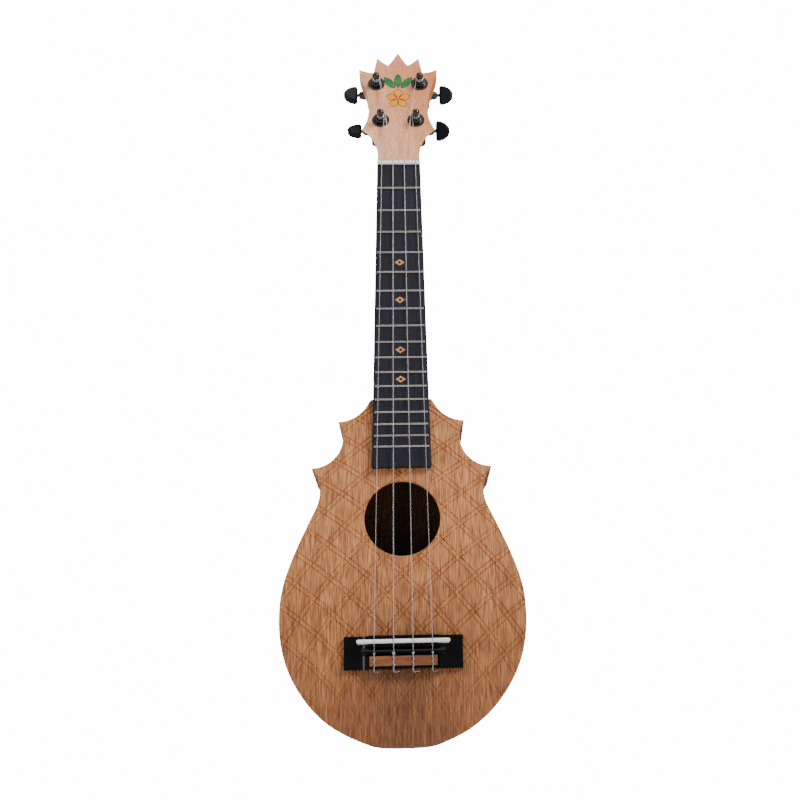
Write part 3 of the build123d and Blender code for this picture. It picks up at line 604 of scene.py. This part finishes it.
def joined(name: str, pieces: list[bpy.types.Object]) -> bpy.types.Object:
    """One piece from several.

    Args:
        name: its name.
        pieces: what to join; they are removed.

    Returns:
        The joined piece.
    """
    whole = bmesh.new()
    for piece in pieces:
        whole.from_mesh(piece.data)
        bpy.data.objects.remove(piece)
    mesh = bpy.data.meshes.new(name)
    whole.to_mesh(mesh)
    whole.free()
    piece = new_piece(name, mesh)
    piece.data.shade_smooth()
    piece.data.set_sharp_from_angle(angle=math.radians(JOINED_CREASE))
    return piece


# ---- sub-assemblies ------------------------------------------------------------------
@dataclass
class CarvedTop:
    """The soundboard with two crossing families of paired V grooves, like a pineapple's skin."""

    paints: Paintbox
    pairs: int = 18
    first_radius: float = 0.5213
    pair_step: float = 0.0185
    line_gap: float = 0.0033
    half_width: float = 0.00052
    depth: float = 0.00058
    proud: float = 0.0004
    centre_x: float = 0.275
    centre_z: float = -0.612
    stations: int = 56
    fade_from: float = -0.372
    fade_to: float = -0.435
    faded: float = 0.24
    crisp_angle: float = 18.0
    first_angle: float = 15.0
    last_angle: float = 86.0

    def cutter_tree(self) -> GeometryTree:
        """Three-sided rods bent to concentric arcs, two to a pair.

        Returns:
            The tree.
        """
        tree = GeometryTree("groove_cutters", {
            "Pairs": "int", "First Radius": "float", "Pair Step": "float", "Line Gap": "float",
            "Half Width": "float", "Depth": "float", "Proud": "float", "Centre X": "float",
            "Centre Z": "float", "Start Angle": "float", "End Angle": "float", "Material": "material"})
        count = tree.sum("MULTIPLY", tree.given("Pairs"), 2.0)
        row = tree.add("GeometryNodeMeshLine", {"Count": count, "Offset": (0, 0, 0)})
        index = tree.add("GeometryNodeInputIndex").outputs[0]
        pair = tree.sum("FLOOR", tree.sum("MULTIPLY", index, 0.5))
        side = tree.sum("SUBTRACT", tree.sum("MODULO", index, 2.0), 0.5)
        radius = tree.sum("SUBTRACT", tree.given("First Radius"),
                          tree.sum("MULTIPLY", pair, tree.given("Pair Step")))
        radius = tree.sum("ADD", radius, tree.sum("MULTIPLY", side, tree.given("Line Gap")))
        marked = tree.add("GeometryNodeStoreNamedAttribute",
                          {"Geometry": row.outputs[0], "Name": "arc", "Value": radius},
                          data_type="FLOAT", domain="POINT")
        rod = tree.add("GeometryNodeMeshCylinder",
                       {"Vertices": 3, "Side Segments": self.stations, "Radius": 1.0, "Depth": 1.0})
        rods = tree.add("GeometryNodeInstanceOnPoints",
                        {"Points": marked.outputs[0], "Instance": rod.outputs["Mesh"]})
        real = tree.add("GeometryNodeRealizeInstances", {"Geometry": rods.outputs[0]})
        arc = tree.add("GeometryNodeInputNamedAttribute", {"Name": "arc"}, data_type="FLOAT").outputs[0]
        spot = tree.add("ShaderNodeSeparateXYZ",
                        {0: tree.add("GeometryNodeInputPosition").outputs[0]}).outputs
        share = tree.sum("ADD", spot[2], 0.5)
        sweep = tree.sum("SUBTRACT", tree.given("End Angle"), tree.given("Start Angle"))
        angle = tree.sum("ADD", tree.given("Start Angle"), tree.sum("MULTIPLY", share, sweep))
        up = tree.sum("ADD", tree.given("Centre Z"), tree.sum("MULTIPLY", arc, tree.sum("SINE", angle)))
        fade = tree.add("ShaderNodeMapRange", {"Value": up, 1: self.fade_to, 2: self.fade_from,
                                               3: self.faded, 4: 1.0}).outputs[0]
        deep = tree.sum("MULTIPLY", tree.given("Depth"), fade)
        tall = tree.sum("ADD", deep, tree.given("Proud"))
        # a three-sided rod has one corner at x = 1, the groove's bottom, and two at x = -0.5
        height = tree.sum("SUBTRACT", tree.sum("MULTIPLY", tree.sum("SUBTRACT", 1.0, spot[0]),
                                               tree.sum("DIVIDE", tall, 1.5)), deep)
        slope = tree.sum("DIVIDE", tree.given("Half Width"), tree.given("Depth"))
        half = tree.sum("DIVIDE", tree.sum("MULTIPLY", slope, tall), math.sin(math.radians(60)))
        reach = tree.sum("ADD", arc, tree.sum("MULTIPLY", spot[1], half))
        across = tree.sum("ADD", tree.given("Centre X"),
                          tree.sum("MULTIPLY", reach, tree.sum("COSINE", angle)))
        up = tree.sum("ADD", tree.given("Centre Z"),
                      tree.sum("MULTIPLY", reach, tree.sum("SINE", angle)))
        ahead = tree.sum("MULTIPLY", height, FACING_FRONT)
        place = tree.add("ShaderNodeCombineXYZ", {0: across, 1: ahead, 2: up})
        bent = tree.add("GeometryNodeSetPosition", {"Geometry": real.outputs[0],
                                                    "Position": place.outputs[0]})
        tree.close(bent.outputs[0], tree.given("Material"))
        return tree

    def build(self) -> bpy.types.Object:
        """Cut the grooves into a copy of the soundboard.

        Returns:
            The carved piece.
        """
        board = frame["nodes"]["soundboard"]
        top = new_piece("carved_top", board.data.copy())
        for layer in ("custom_normal", "sharp_face"):
            if layer in top.data.attributes:
                top.data.attributes.remove(top.data.attributes[layer])
        tidy_shell(top)
        tree = self.cutter_tree()
        first, last = math.radians(self.first_angle), math.radians(self.last_angle)
        for side, start, end in ((-1, first, last), (1, math.pi - last, math.pi - first)):
            values = {"Pairs": self.pairs, "First Radius": self.first_radius,
                      "Pair Step": self.pair_step, "Line Gap": self.line_gap,
                      "Half Width": self.half_width, "Depth": self.depth,
                      "Proud": self.proud, "Centre X": side * self.centre_x, "Centre Z": self.centre_z,
                      "Start Angle": start, "End Angle": end,
                      "Material": self.paints.get("acacia_top")}
            cutter = tree.run(f"groove_cutter_{side + 1}", values)
            tidy_shell(cutter)
            cut = top.modifiers.new("cut", "BOOLEAN")
            cut.operation, cut.solver, cut.object = "DIFFERENCE", "MANIFOLD", cutter
            bpy.context.view_layer.update()
            graph = bpy.context.evaluated_depsgraph_get()
            carved = bpy.data.meshes.new_from_object(top.evaluated_get(graph))
            top.modifiers.clear()
            top.data = carved
            bpy.data.objects.remove(cutter)
        tidy_shell(top, self.crisp_angle)
        self.paints.dress(top, "acacia_top")
        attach(top, ROOT)
        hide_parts("soundboard")
        LOG.info("carved_top: %d faces", len(top.data.polygons))
        return top


@dataclass
class FrameDressing:
    """Puts each record finish on the CAD nodes, which keep their shapes."""

    paints: Paintbox
    own_finish: tuple[tuple[str, str], ...] = (("back_plate", "acacia_back"),)

    def build(self) -> None:
        """Dress every node by its material slot."""
        slots = {row["node"]: row["material_slot"] for row in frame["record"]["subparts"]}
        special = dict(self.own_finish)
        for node, piece in frame["nodes"].items():
            self.paints.dress(piece, special.get(node, slots[node]))
        LOG.info("dressed %d nodes", len(frame["nodes"]))


@dataclass
class EmblemLines:
    """The thin dark line round each petal and leaf of the headstock's inlaid flower."""

    paints: Paintbox
    radius: float = 0.00022
    crease: float = 60.0
    tilt: float = 8.0
    level_margin: float = 0.0001
    line_sides: int = 6

    def build(self) -> bpy.types.Object:
        """Follow the front edges of both inlays.

        Returns:
            The line piece.
        """
        tree = GeometryTree("edge_lines", {"Inlay": "object", "Crease": "float", "Level": "float",
                                           "Tilt": "float", "Radius": "float", "Material": "material"})
        info = tree.add("GeometryNodeObjectInfo", {"Object": tree.given("Inlay")})
        merged = tree.add("GeometryNodeMergeByDistance", {"Geometry": info.outputs["Geometry"],
                                                          "Distance": MERGE_DISTANCE})
        bent = tree.add("GeometryNodeInputMeshEdgeAngle").outputs[0]
        sharp = tree.add("FunctionNodeCompare", {0: bent, 1: tree.given("Crease")},
                         data_type="FLOAT", operation="GREATER_THAN").outputs[0]
        spot = tree.add("ShaderNodeSeparateXYZ",
                        {0: tree.add("GeometryNodeInputPosition").outputs[0]}).outputs
        rise = tree.sum("MULTIPLY", spot[2], tree.sum("SINE", tree.given("Tilt")))
        height = tree.sum("SUBTRACT", rise,
                          tree.sum("MULTIPLY", spot[1], tree.sum("COSINE", tree.given("Tilt"))))
        front = tree.add("FunctionNodeCompare", {0: height, 1: tree.given("Level")},
                         data_type="FLOAT", operation="GREATER_THAN").outputs[0]
        both = tree.add("FunctionNodeBooleanMath", {0: sharp, 1: front}, operation="AND").outputs[0]
        path = tree.add("GeometryNodeMeshToCurve", {"Mesh": merged.outputs[0], "Selection": both})
        ring = tree.add("GeometryNodeCurvePrimitiveCircle", {"Resolution": self.line_sides,
                                                             "Radius": tree.given("Radius")})
        line = tree.add("GeometryNodeCurveToMesh", {"Curve": path.outputs[0],
                                                    "Profile Curve": ring.outputs[0],
                    "Fill Caps": True})
        tree.close(line.outputs[0], tree.given("Material"))
        normal = Vector((0, -math.cos(math.radians(self.tilt)), math.sin(math.radians(self.tilt))))
        lines = []
        for node in ("emblem_petals", "emblem_leaves"):
            inlay = frame["nodes"][node]
            level = max(normal.dot(v.co) for v in inlay.data.vertices) - self.level_margin
            lines.append(tree.run(f"line_{node}", {
                "Inlay": inlay, "Crease": math.radians(self.crease), "Level": level,
                "Tilt": math.radians(self.tilt), "Radius": self.radius,
                "Material": self.paints.get("inlay_line")}))
        piece = joined("emblem_lines", lines)
        self.paints.dress(piece, "inlay_line")
        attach(piece, ROOT)
        LOG.info("emblem_lines: %d faces", len(piece.data.polygons))
        return piece


@dataclass
class StringTies:
    """Each string's knot on the tie block, its wrapped strand and its clipped tail."""

    paints: Paintbox
    spacing: float = 0.0138
    radii: tuple[float, ...] = (0.00031, 0.00043, 0.00038, 0.00029)
    block_top: float = 0.0076
    knot_at: float = -0.3909
    block_back: float = -0.4023
    tail: float = 0.0042
    turns: float = 2.5
    stations: int = 96
    strand_sides: int = 10
    clearance: float = 0.00006
    wrap_end: float = 0.0012
    knot_steps: int = 30
    knot_size: float = 0.7
    knot_lift: float = 2.4

    def wrap_tree(self) -> GeometryTree:
        """A strand that crosses over the string from side to side.

        Returns:
            The tree.
        """
        tree = GeometryTree("wrapped_strand", {
            "Across": "float", "Height": "float", "Front": "float", "Back": "float", "Turns": "float",
            "Swing": "float", "Strand Radius": "float", "Material": "material"})
        front = tree.add("ShaderNodeCombineXYZ", {0: tree.given("Across"), 1: tree.given("Height"),
                                                  2: tree.given("Front")}).outputs[0]
        back = tree.add("ShaderNodeCombineXYZ", {0: tree.given("Across"), 1: tree.given("Height"),
                                                 2: tree.given("Back")}).outputs[0]
        line = tree.add("GeometryNodeCurvePrimitiveLine", {"Start": front, "End": back})
        fine = tree.add("GeometryNodeResampleCurve", {"Curve": line.outputs[0], "Count": self.stations})
        share = tree.add("GeometryNodeSplineParameter").outputs["Factor"]
        phase = tree.sum("MULTIPLY", tree.sum("MULTIPLY", share, tree.given("Turns")), math.tau)
        aside = tree.sum("MULTIPLY", tree.sum("COSINE", phase), tree.given("Swing"))
        lift = tree.sum("MULTIPLY", tree.sum("ABSOLUTE", tree.sum("SINE", phase)), tree.given("Swing"))
        ahead = tree.sum("MULTIPLY", lift, FACING_FRONT)
        shift = tree.add("ShaderNodeCombineXYZ", {0: aside, 1: ahead, 2: 0.0})
        wound = tree.add("GeometryNodeSetPosition", {"Geometry": fine.outputs[0],
                                                     "Offset": shift.outputs[0]})
        ring = tree.add("GeometryNodeCurvePrimitiveCircle", {"Resolution": self.strand_sides,
                                                             "Radius": tree.given("Strand Radius")})
        strand = tree.add("GeometryNodeCurveToMesh", {"Curve": wound.outputs[0],
                                                      "Profile Curve": ring.outputs[0],
                    "Fill Caps": True})
        tree.close(strand.outputs[0], tree.given("Material"))
        return tree

    def knot(self, name: str, x: float, radius: float) -> bpy.types.Object:
        """A small pulled-down overhand knot.

        Args:
            name: the string's name.
            x: its place across the bridge.
            radius: the string's radius.

        Returns:
            The knot.
        """
        size = radius * self.knot_size
        centre = Vector((x, -self.block_top - radius * self.knot_lift, self.knot_at))
        turns = [math.tau * step / self.knot_steps for step in range(self.knot_steps)]
        points = [centre + size * Vector((math.sin(t) + 2 * math.sin(2 * t), 1.1 * math.sin(3 * t),
                                          1.25 * (math.cos(t) - 2 * math.cos(2 * t)))) for t in turns]
        return tube(f"knot_{name}", points, radius * 0.92, closed=True)

    def build(self) -> None:
        """Make the four ties."""
        tree = self.wrap_tree()
        for place, name in enumerate(STRING_NAMES):
            radius = self.radii[place]
            x = (place - 1.5) * self.spacing
            height = -self.block_top - radius - self.clearance
            wrap = tree.run(f"wrap_{name}", {
                "Across": x, "Height": height, "Front": self.knot_at,
                "Back": self.block_back + self.wrap_end,
                "Turns": self.turns, "Swing": radius * 1.5, "Strand Radius": radius * 0.7,
                "Material": self.paints.get("clear_string")})
            low = -self.block_top * 0.72
            back = self.block_back - 0.0009
            tail = tube(f"tail_{name}", [
                Vector((x - radius, height - radius, self.block_back + self.wrap_end)),
                Vector((x - radius, height, back)), Vector((x + 0.0004, low, back - 0.0005)),
                Vector((x + self.tail * 0.5, low + 0.0006, back - 0.0004)),
                Vector((x + self.tail, low, back + 0.0002))], radius * 0.85)
            piece = joined(f"string_tie_{name}", [self.knot(name, x, radius), wrap, tail])
            self.paints.dress(piece, "clear_string")
            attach(piece, ROOT)
            LOG.info("string_tie_%s: %d faces", name, len(piece.data.polygons))


@dataclass(frozen=True)
class Lamp:
    """One soft rectangular lamp: its name, place, width and height, and watts."""

    name: str
    place: tuple[float, float, float]
    size: tuple[float, float]
    power: float


@dataclass
class Studio:
    """The pale floor, the soft lights and the camera."""

    lamps: tuple[Lamp, ...] = (
        Lamp("key_lamp", (0.8, -1.0, 0.7), (0.5, 0.5), 27.0),
        Lamp("fill_lamp", (-1.25, -1.0, 0.1), (0.7, 1.1), 8.0),
        Lamp("top_lamp", (0.05, -0.35, 0.95), (0.6, 0.4), 4.0),
        Lamp("rear_lamp", (-0.4, 1.4, 0.5), (0.9, 0.9), 12.0))
    aim: tuple[float, float, float] = (0.0, 0.0, -0.15)
    soft_strength: float = 0.22
    seen_strength: float = 15.0
    floor_z: float = -0.56
    floor_radius: float = 1.85
    lens: float = 51.94
    shift: float = -0.0819
    place: tuple[float, float, float] = (0.00845, -0.8415, -0.4735)
    yaw: float = -0.0486
    pitch: float = 0.3134
    roll: float = 0.0282

    def floor(self) -> None:
        """A plain pale disc under the instrument."""
        disc = bmesh.new()
        bmesh.ops.create_circle(disc, cap_ends=True, segments=96, radius=self.floor_radius,
                                matrix=Matrix.Translation((0, 0, self.floor_z)))
        mesh = bpy.data.meshes.new("studio_floor")
        disc.to_mesh(mesh)
        disc.free()
        piece = new_piece("studio_floor", mesh)
        book = MaterialBook("studio_floor")
        book.shader.inputs["Base Color"].default_value = (0.9, 0.9, 0.9, 1)
        book.shader.inputs["Roughness"].default_value = 0.9
        book.shader.inputs["Specular IOR Level"].default_value = 0.0
        mesh.materials.append(book.material)

    def light(self, lamp: Lamp) -> None:
        """Hang one lamp, turned to the instrument.

        Args:
            lamp: the lamp.
        """
        data = bpy.data.lights.new(lamp.name, "AREA")
        data.shape = "RECTANGLE"
        data.size, data.size_y = lamp.size
        data.energy = lamp.power
        hung = bpy.data.objects.new(lamp.name, data)
        hung.location = lamp.place
        hung.rotation_mode = "QUATERNION"
        hung.rotation_quaternion = (Vector(self.aim) - Vector(lamp.place)).to_track_quat("-Z", "Y")
        bpy.context.scene.collection.objects.link(hung)

    def world(self) -> None:
        """An even white surround, brighter where it is seen directly."""
        world = bpy.data.worlds.new("studio_world")
        world.use_nodes = True
        tree = world.node_tree
        tree.nodes.clear()
        out = tree.nodes.new("ShaderNodeOutputWorld")
        mix = tree.nodes.new("ShaderNodeMixShader")
        path = tree.nodes.new("ShaderNodeLightPath")
        soft = tree.nodes.new("ShaderNodeBackground")
        seen = tree.nodes.new("ShaderNodeBackground")
        soft.inputs["Color"].default_value = (1, 1, 1, 1)
        soft.inputs["Strength"].default_value = self.soft_strength
        seen.inputs["Color"].default_value = (1, 1, 1, 1)
        seen.inputs["Strength"].default_value = self.seen_strength
        tree.links.new(path.outputs["Is Camera Ray"], mix.inputs[0])
        tree.links.new(soft.outputs[0], mix.inputs[1])
        tree.links.new(seen.outputs[0], mix.inputs[2])
        tree.links.new(mix.outputs[0], out.inputs["Surface"])
        bpy.context.scene.world = world

    def camera(self) -> None:
        """A low camera in front, looking up the neck."""
        data = bpy.data.cameras.new("studio_camera")
        data.lens, data.sensor_width, data.shift_x = self.lens, 36.0, self.shift
        data.clip_start, data.clip_end = 0.01, 50.0
        camera = bpy.data.objects.new("studio_camera", data)
        turn = (Matrix.Rotation(self.yaw, 3, "Z") @ Matrix.Rotation(self.pitch, 3, "X")
                @ Matrix.Rotation(self.roll, 3, "Y"))
        right, ahead, above = turn.col[0], turn.col[1], turn.col[2]
        facing = Matrix((right, above, -ahead)).transposed()
        camera.matrix_world = Matrix.Translation(self.place) @ facing.to_4x4()
        bpy.context.scene.collection.objects.link(camera)
        bpy.context.scene.camera = camera

    def build(self) -> None:
        """Set up the whole studio."""
        self.floor()
        self.world()
        self.camera()
        for lamp in self.lamps:
            self.light(lamp)
        LOG.info("studio: %d lamps", len(self.lamps))


def main() -> None:
    """Build the classes in order."""
    logging.basicConfig(level=logging.INFO, format="%(message)s")
    paints = Paintbox()
    Studio().build()
    FrameDressing(paints).build()
    CarvedTop(paints).build()
    EmblemLines(paints).build()
    StringTies(paints).build()


if __name__ == "__main__":
    main()
